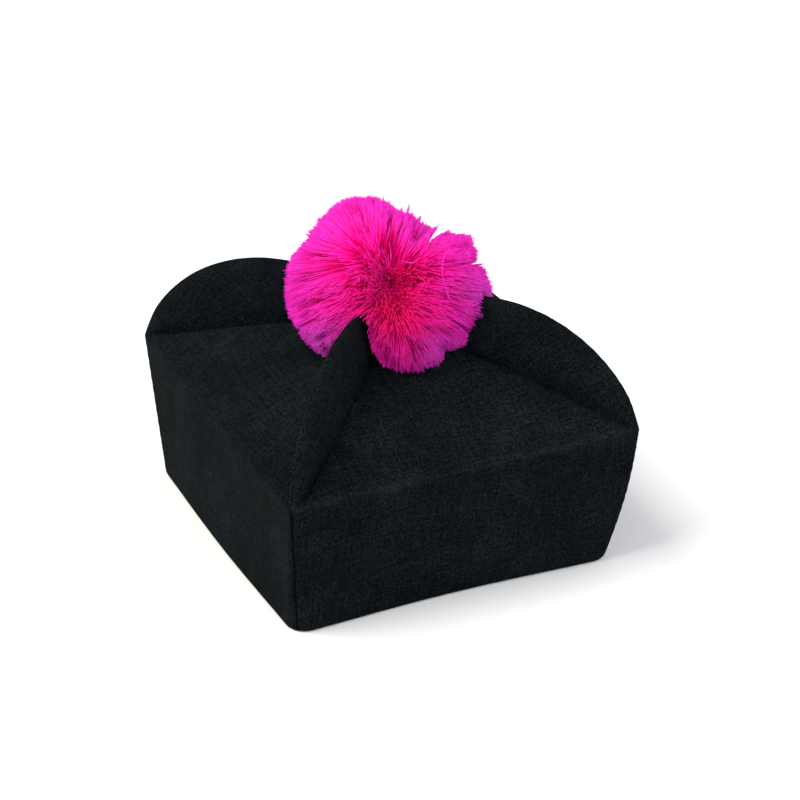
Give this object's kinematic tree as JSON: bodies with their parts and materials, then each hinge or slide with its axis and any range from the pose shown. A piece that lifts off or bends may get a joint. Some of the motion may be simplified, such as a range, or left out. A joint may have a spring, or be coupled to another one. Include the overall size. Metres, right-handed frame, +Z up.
{
  "type": "biretta",
  "caption": "Soft square cloth cap with upright horns on the crown's diagonals and a round pompom of cut fibres at its middle, open below for the head.",
  "frame": {"origin": "middle of the crown's square, at the level of the lower rim, on the surface that the cap rests on", "axes": "+Z up; the walls face along X and Y, the horns stand on the diagonals towards (-X, -Y), (+X, -Y) and (-X, +Y), and the corner towards (+X, +Y) has none"},
  "size_m": [0.1657, 0.1659, 0.1556],
  "materials": {
    "cloth": "fine matt black wool weave",
    "pompom_fibre": "soft silky cut fibres, bright magenta",
    "tie_thread": "black twisted thread"
  },
  "bodies": {
    "root": {"panel_front": "cloth", "panel_right": "cloth", "panel_back": "cloth", "panel_left": "cloth", "pompom": "pompom_fibre", "pompom_tie": "tie_thread"}
  },
  "joints": []
}
